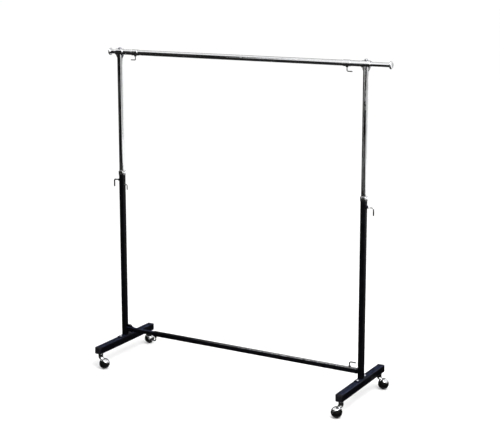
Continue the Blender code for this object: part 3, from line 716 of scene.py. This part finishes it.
def rail_sleeve():
    """Collar on the rail with a threaded boss below it."""
    outer = RAIL_RADIUS + 0.0020
    root = RAIL_RADIUS + 0.0010
    boss_profile = [(0, root), (0.0074, root), (0.0064, outer + 0.0006), (0.0060, outer + 0.0014)]
    boss_profile += arc((0.0053, outer + 0.0028), 0.0007, 0, 90, 4) + [(0, outer + 0.0035)]
    return carved(rolled_sleeve(outer, RAIL_RADIUS + FIT, 0.018, 0.0007), [
        ("UNION", turned(boss_profile, 48), DOWN),
        ("DIFFERENCE", drum(0.0030, 0.012, 0.030), DOWN),
    ])


tee_mesh = tee()
tee_screw_mesh = tee_screw()
sleeve_mesh = rail_sleeve()
for side in SIDES:
    at_rail = Matrix.Translation((POST_X[side], 0, RAIL_Z))
    piece(f"{side}_tee", tee_mesh, CHROME, at_rail, 28)
    piece(f"{side}_tee_screw", tee_screw_mesh, ZINC, at_rail)
    at_sleeve = Matrix.Translation((middle(f"{side}_rail_sleeve").x, 0, RAIL_Z))
    piece(f"{side}_rail_sleeve", sleeve_mesh, CHROME, at_sleeve)


# Guide bushes inside the posts

BUSH_SKIRT = 0.012


def guide_bush():
    """Flanged bush: grooved guide below, hollow plug up inside the upright."""
    guide, bore, corner, groove = 0.0214, 0.0184, 0.002, 0.0006
    rings = [square(guide - 0.002, corner, -BUSH_SKIRT), square(guide, corner, 0.002 - BUSH_SKIRT)]
    for low, high in ((-0.0075, -0.0068), (-0.0045, -0.0038)):
        for z, cut in ((low, 0), (low, groove), (high, groove), (high, 0)):
            rings.append(square(guide - cut, corner, z))
    rings += [square(guide, corner, 0), square(bore, 0.0018, 0), square(bore, 0.0018, 0.020)]
    return loft(rings)


bush_mesh = guide_bush()
for side in SIDES:
    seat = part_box(f"{side}_guide_bush")[0].z + BUSH_SKIRT
    piece(f"{side}_guide_bush", bush_mesh, PLASTIC, Matrix.Translation((POST_X[side], 0, seat)))


# Crossbar and its bracket

CROSSBAR_Z = middle("left_crossbar_stub").z


def crossbar():
    """Square tube with a welded nut at each end for its lock screw."""
    low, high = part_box("crossbar")
    side = high.y - low.y
    tube = square_tube(side, CROSSBAR_WALL, CROSSBAR_CORNER, low.x, high.x)
    tube.transform(ALONG_X)
    hole = drum(0.0037, 0.0080, 0.0240)
    nut = boss(0.0095, 0.0055, 0.0090, 0.0037)
    radius = CROSSBAR_SCREW[0]
    steps = []
    for end, up in (("left", -1), ("right", 1)):
        box_low, box_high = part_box(f"{end}_crossbar_screw")
        inward = -SIDES[end]
        x = box_high.x - radius if inward > 0 else box_low.x + radius
        turn = facing((0, 0, up), (inward, 0, 0))
        steps.append(("UNION", nut, Matrix.Translation((x, 0, up * (side / 2 - 0.001))) @ turn))
        steps.append(("DIFFERENCE", hole, Matrix.Translation((x, 0, 0)) @ turn))
    piece("crossbar", carved(tube, steps), BAR_COAT, Matrix.Translation((0, 0, CROSSBAR_Z)), 45)


def bracket():
    """Square sleeve round the stub with a welded block along its top."""
    low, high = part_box("left_crossbar_bracket")
    side = high.y - low.y
    length, bore = 0.036, 0.0192
    tube = square_tube(side, (side - bore) / 2, 0.003, -length / 2, length / 2)
    tube.transform(Matrix.Translation((low.x + length / 2, 0, 0)) @ ALONG_X)
    root, top, start, end = side / 2 - 0.001, 0.025, low.x, low.x + 0.033
    points = [(start, root), (end, root), (end, 0.016), (start + 0.024, top), (start, top)]
    block = softened(plate(points, 0.006), 0.0008)
    piece("left_crossbar_bracket", carved(tube, [("UNION", block, Matrix())]), COAT,
          Matrix.Translation((0, 0, CROSSBAR_Z)), 45)


crossbar()
bracket()


# Flanges, bolts and foot caps

BOLT_HEAD = 0.0060


def flange():
    """Plate with a rounded top edge, two bolt holes and a spigot up inside the post."""
    low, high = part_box("left_post_flange")
    width = high.x - low.x
    depth = high.y - low.y
    corner, edge = 0.0030, 0.0008
    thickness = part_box("left_front_flange_bolt")[1].z - (BOLT_HEAD + FIT) - low.z
    rings = [outline(width, depth, corner, 0), outline(width, depth, corner, thickness - edge)]
    for i in range(1, 5):
        bend = math.radians(90 * i / 4)
        cut = 2 * edge * (1 - math.cos(bend))
        z = thickness - edge * (1 - math.sin(bend))
        rings.append(outline(width - cut, depth - cut, corner - cut / 2, z))
    spigot = loft([square(0.0218, 0.002, z) for z in (thickness / 2, high.z - low.z)])
    hole = drum(0.0045, -0.01, 0.01)
    bolt_y = abs(middle("left_rear_flange_bolt").y)
    steps = [("UNION", spigot, Matrix())]
    for end in (-1, 1):
        steps.append(("DIFFERENCE", hole, Matrix.Translation((0, end * bolt_y, 0))))
    return carved(loft(rings), steps), low.z


def bolt():
    """Button-head bolt with a hexagonal socket, its head on z = 0."""
    shank, head, flat, brim = 0.0040, 0.0075, 0.0030, 0.0012
    profile = [(0, -0.012), (shank - 0.0004, -0.012), (shank, -0.0115), (shank, 0), (head - 0.0002, 0)]
    profile += [(head, 0.0002), (head, brim)]
    for i in range(1, 9):
        bend = math.radians(90 * i / 9)
        profile.append((flat + 0.0045 * math.cos(bend), brim + 0.0048 * math.sin(bend)))
    profile += [(flat, BOLT_HEAD), (0, BOLT_HEAD)]
    return carved(turned(profile, 64), [("DIFFERENCE", drum(0.0024, 0.0030, 0.0080, 6), Matrix())])


CAP_PLUG, CAP_DOME = 0.010, 0.011


def foot_cap():
    """Domed cap, outward along Z from the tube's mouth, with its plug inside."""
    side = span("left_foot_front_cap").x
    plug, plug_corner = side - 0.0046, 0.0014
    groove, base = 0.0005, 0.0015
    rings = [square(plug - 0.002, plug_corner, -CAP_PLUG), square(plug, plug_corner, 0.002 - CAP_PLUG)]
    rings += [square(plug, plug_corner, 0), square(side, FOOT_CORNER, 0), square(side, FOOT_CORNER, 0.0006)]
    rings += [square(side - groove, FOOT_CORNER, 0.0009), square(side - groove, FOOT_CORNER, 0.0012)]
    rings += [square(side, FOOT_CORNER, base)]
    for i in range(1, 15):
        bend = math.radians(90 * i / 14)
        shrink = CAP_DOME * (1 - math.cos(bend)) * 0.95
        rise = (CAP_DOME - base) * math.sin(bend)
        rings.append(square(side - 2 * shrink, FOOT_CORNER + 0.25 * shrink, base + rise))
    return loft(rings)


flange_mesh, flange_z = flange()
bolt_mesh = bolt()
foot_cap_mesh = foot_cap()
for side in SIDES:
    piece(f"{side}_post_flange", flange_mesh, COAT, Matrix.Translation((POST_X[side], 0, flange_z)))
    for end, direction in (("front", -1), ("rear", 1)):
        node = f"{side}_{end}_flange_bolt"
        low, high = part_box(node)
        at = (POST_X[side], (low.y + high.y) / 2, high.z - BOLT_HEAD)
        piece(node, bolt_mesh, ZINC, Matrix.Translation(at))
        node = f"{side}_foot_{end}_cap"
        low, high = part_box(node)
        mouth = high.y - CAP_DOME if direction > 0 else low.y + CAP_DOME
        at = (POST_X[side], mouth, (low.z + high.z) / 2)
        piece(node, foot_cap_mesh, PLASTIC, Matrix.Translation(at) @ facing((0, direction, 0), (1, 0, 0)), 40)


# Casters

BALL = 0.026
HOLLOW = BALL - 0.0018
# The tread runs between two angles from the pole, proud of the rest; grooves are start, end and depth
TREAD, TREAD_STEP = (30, 58), 0.0003
GROOVES = ((56.5, 59, 0.0008), (27, 29.5, 0.0008), (11, 13, 0.0009))


def half_ball(radius, steps, start=0.0):
    """Profile of half a ball from its equator, or from a start angle, up to its pole."""
    points = []
    for i in range(steps):
        angle = start + (math.pi / 2 - start) * i / steps
        points.append((radius * math.cos(angle), radius * math.sin(angle)))
    return points + [(0, radius)]


def smooth_path(points, steps):
    """Catmull-Rom points through the given ones."""
    result = []
    for i in range(len(points) - 1):
        around = [points[max(i - 1, 0)], points[i], points[i + 1], points[min(i + 2, len(points) - 1)]]
        for step in range(steps):
            t = step / steps
            row = []
            for a, b, c, d in zip(*around):
                row.append(0.5 * (2 * b + (c - a) * t + (2 * a - 5 * b + 4 * c - d) * t * t
                                  + (3 * b - a - 3 * c + d) * t * t * t))
            result.append(row)
    return result + [list(points[-1])]


def ring_at(x, y, z, radius, sides=48):
    """Level circle of points."""
    turns = [math.radians(360 / sides * i) for i in range(sides)]
    return [(x + radius * math.cos(turn), y + radius * math.sin(turn), z) for turn in turns]


def neck(hand, top):
    """Bent neck from the hood up to the swivel, with a groove round its head."""
    sections = [(0.018, 0.007, 0.034, 0.0080), (0.011, 0.004, 0.041, 0.0115), (0.004, 0.001, 0.048, 0.0124)]
    sections += [(0.0, 0.0, 0.056, 0.0118), (0.0, 0.0, top - 0.004, 0.0118)]
    rings = [ring_at(x, hand * y, z, radius) for x, y, z, radius in smooth_path(sections, 5)]
    for below, radius in ((0.0034, 0.0112), (0.0028, 0.0112), (0.0022, 0.0118), (0.0012, 0.0118),
                          (0.0004, 0.0114), (0, 0.0106)):
        rings.append(ring_at(0, 0, top - below, radius))
    return loft(rings)


def hood(hand, trail, pole, top):
    """Half-ball hood, its neck and its axle, in the caster's own frame with the trail along X."""
    at_ball = Matrix.Translation((trail, 0, BALL)) @ facing(pole, (1, 0, 0))
    lip = BALL - 0.0005
    shell = turned([(0, 0), (BALL, 0), (BALL, 0.0019), (lip, 0.0023), (lip, 0.0029)]
                   + half_ball(BALL, 24, math.radians(8)), 96)
    shell.transform(at_ball)
    hollow = turned([(0, -0.003), (HOLLOW, -0.003)] + half_ball(HOLLOW, 16), 72)
    room_top = 0.0004
    below = [(radius, room_top - height) for radius, height in half_ball(BALL + 0.0011, 20)]
    room = turned([(0, room_top)] + below, 96)
    return carved(shell, [
        ("UNION", neck(hand, top), Matrix()),
        ("DIFFERENCE", hollow, at_ball),
        ("DIFFERENCE", room, at_ball),
        ("UNION", drum(0.0062, 0.0030, HOLLOW + 0.0004), at_ball),
        ("UNION", drum(0.0030, -0.0180, 0.0040), at_ball),
        ("DIFFERENCE", drum(0.0045, 0.0490, 0.100), Matrix()),
    ])


def wheel():
    """Half-ball wheel, pole along Z, with tread grooves, a hub line and a blind bore."""
    profile = [(0, 0.0190), (0.0035, 0.0190), (0.0035, 0.0014), (0.0060, 0.0008), (BALL - 0.0016, 0.0008)]
    profile += [(BALL - 0.0006, 0.0012)]
    rim, steps = 86, 60
    for i in range(steps + 1):
        degrees = rim - rim * i / steps
        polar = math.radians(degrees)
        radius = BALL - TREAD_STEP if degrees > TREAD[1] or degrees < TREAD[0] else BALL
        for start, end, depth in GROOVES:
            if start < degrees < end:
                radius = BALL - depth
        profile.append((radius * math.sin(polar) if i < steps else 0, radius * math.cos(polar)))
    return turned(profile, 96)


def stem(flange_top):
    """Caster stem: pin into the neck, flange against the foot, ringed shank up into it."""
    bottom = flange_top - 0.0020
    pin, disc, shank, top = 0.0040, 0.0095, 0.0060, 0.1000
    profile = [(0, 0.0500), (pin - 0.0006, 0.0500), (pin, 0.0510), (pin, bottom), (disc - 0.0004, bottom)]
    profile += [(disc, bottom + 0.0004), (disc, flange_top - 0.0004), (disc - 0.0004, flange_top)]
    profile += [(shank, flange_top)]
    for i in range(4):
        z = flange_top + 0.003 + 0.005 * i
        groove = shank - 0.0004
        profile += [(shank, z), (groove, z + 0.0008), (groove, z + 0.0018), (shank, z + 0.0026)]
    profile += [(shank, top - 0.0020), (0.0045, top), (0, top)]
    return turned(profile, 48)


wheel_mesh = wheel()
stem_mesh = stem(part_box("left_foot")[0].z - FIT)
for place in CASTERS:
    swivel = Vector(JOINTS[f"{place}_swivel_turn"]["pos_m"])
    turning = JOINTS[f"{place}_wheel_turn"]
    ball = Vector(turning["pos_m"])
    down_pole = Vector(turning["axis"]).normalized()
    heading = Vector((ball.x - swivel.x, ball.y - swivel.y, 0))
    trail = heading.length
    heading.normalize()
    across = Vector((0, 0, 1)).cross(heading)
    hand = 1 if -down_pole.dot(across) > 0 else -1
    tilt_pole = (0, -down_pole.dot(across), -down_pole.z)
    own_frame = Matrix.Translation((swivel.x, swivel.y, 0)) @ facing((0, 0, 1), heading)
    neck_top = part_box(f"{place}_hood")[1].z
    piece(f"{place}_hood", hood(hand, trail, tilt_pole, neck_top), CHROME, own_frame, 30)
    piece(f"{place}_wheel", wheel_mesh, RUBBER, Matrix.Translation(ball) @ facing(down_pole, heading))
    piece(f"{place}_stem", stem_mesh, ZINC, Matrix.Translation((swivel.x, swivel.y, 0)))


# Studio

def emitter_card(name, corners, low_tone, high_tone, scale, stops=(0.35, 0.65), stretch=(1, 1, 1)):
    """A card that only reflections see, so that bright plate has something dark to mirror."""
    work = bmesh.new()
    work.faces.new([work.verts.new(corner) for corner in corners])
    card = bpy.data.objects.new(name, to_mesh(work, name))
    bpy.context.scene.collection.objects.link(card)
    material = bpy.data.materials.new(f"{name}_tone")
    material.use_nodes = True
    tree = material.node_tree
    tree.nodes.clear()
    output = tree.nodes.new("ShaderNodeOutputMaterial")
    glow = tree.nodes.new("ShaderNodeEmission")
    field = noise(tree, object_coords(tree, stretch), scale, 3.0)
    tone = ramp(tree, field, [(stops[0], (low_tone,) * 3), (stops[1], (high_tone,) * 3)])
    tree.links.new(tone, glow.inputs["Color"])
    tree.links.new(glow.outputs["Emission"], output.inputs["Surface"])
    card.data.materials.append(material)
    card.visible_camera = False
    card.visible_diffuse = False
    card.visible_shadow = False
    card.visible_transmission = False
    card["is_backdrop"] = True


def level_card(name, corner, opposite, z, tones, scale, stops=(0.35, 0.65), stretch=(1, 1, 1)):
    """Card lying level between two opposite corners."""
    (x0, y0), (x1, y1) = corner, opposite
    emitter_card(name, [(x0, y0, z), (x1, y0, z), (x1, y1, z), (x0, y1, z)], *tones, scale, stops, stretch)


def upright_card(name, start, end, bottom, top, tones, scale, stops=(0.35, 0.65)):
    """Card standing upright over a line on the floor."""
    emitter_card(name, [(*start, bottom), (*end, bottom), (*end, top), (*start, top)], *tones, scale, stops)


# Name, two opposite corners, height, dark and light tone, noise scale, then stops and stretch
LEVEL_CARDS = [
    ("front_floor_card", (-10, -9), (5, 0.9), 0.015, (0.004, 0.03), 0.8),
    ("rear_floor_card", (-10, 0.9), (10, 4.2), 0.015, (0.02, 0.40), 0.9),
    ("overhead_left_card", (-3, -1.2), (0, 2.2), 4.5, (0.55, 1.10), 1.5, (0.40, 0.60), (0.3, 3, 1)),
    ("overhead_right_card", (0, -1.2), (4, 2.2), 4.5, (0.10, 1.10), 1.5, (0.42, 0.56), (0.8, 3, 1)),
]
# Name, start and end on the floor plan, bottom, top, dark and light tone, noise scale, then stops
UPRIGHT_CARDS = [
    ("front_left_card", (-9, -3.0), (-2.4, -3.96), 0.05, 6.5, (0.003, 0.16), 3.2, (0.50, 0.74)),
    ("front_right_card", (-2.4, -3.96), (2, -4.6), 0.05, 2.5, (0.003, 0.60), 3.2, (0.50, 0.72)),
    ("left_card", (-9, -3.0), (-11, 6.0), 0.05, 5.0, (0.004, 0.05), 1.5),
    ("rear_card", (-11, 6.0), (0.4, 6.0), 0.0, 8.5, (0.008, 0.05), 1.0),
    ("rear_grey_card", (3.47, 6.0), (5.0, 6.0), 0.0, 5.0, (0.36, 0.62), 1.4),
    ("rear_right_card", (5.0, 6.0), (13, 5.0), 0.0, 4.5, (0.04, 0.40), 1.4),
    ("right_card", (9, -3.0), (12, 5.0), 0.0, 3.2, (0.05, 0.45), 1.4),
]


def studio():
    """Pale floor, even surroundings, one soft lamp and the cards."""
    scene = bpy.context.scene
    scene.view_settings.view_transform = "Standard"
    work = bmesh.new()
    corners = [(-1, -1), (1, -1), (1, 1), (-1, 1)]
    work.faces.new([work.verts.new((FLOOR_HALF * x, FLOOR_HALF * y, 0)) for x, y in corners])
    floor = bpy.data.objects.new("floor", to_mesh(work, "floor"))
    scene.collection.objects.link(floor)
    material, tree, shader = node_material("floor_paint")
    shader.inputs["Base Color"].default_value = (FLOOR_TONE, FLOOR_TONE, FLOOR_TONE, 1.0)
    shader.inputs["Roughness"].default_value = 0.9
    shader.inputs["Specular IOR Level"].default_value = 0.1
    floor.data.materials.append(material)
    floor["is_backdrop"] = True

    world = bpy.data.worlds.new("studio")
    scene.world = world
    world.use_nodes = True
    backdrop = world.node_tree.nodes["Background"]
    backdrop.inputs["Color"].default_value = (1.0, 1.0, 1.0, 1.0)
    backdrop.inputs["Strength"].default_value = SURROUND

    lamp = bpy.data.lights.new("soft_key", "AREA")
    lamp.shape = "RECTANGLE"
    lamp.size = KEY_SIZE
    lamp.size_y = KEY_SIZE
    lamp.energy = KEY_POWER
    key = bpy.data.objects.new("soft_key", lamp)
    scene.collection.objects.link(key)
    key.location = KEY_AT
    key.rotation_euler = (Vector(KEY_AIM) - key.location).to_track_quat("-Z", "Y").to_euler()

    for card in LEVEL_CARDS:
        level_card(*card)
    for card in UPRIGHT_CARDS:
        upright_card(*card)


def camera():
    lens = bpy.data.cameras.new("camera")
    lens.sensor_fit = "HORIZONTAL"
    lens.sensor_width = SENSOR
    lens.lens = LENS
    lens.shift_y = SHIFT
    made = bpy.data.objects.new("camera", lens)
    bpy.context.scene.collection.objects.link(made)
    made.location = CAMERA_AT
    made.rotation_euler = (math.radians(90 + CAMERA_PITCH), 0.0, math.radians(CAMERA_YAW))
    bpy.context.scene.camera = made


studio()
camera()

low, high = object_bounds()
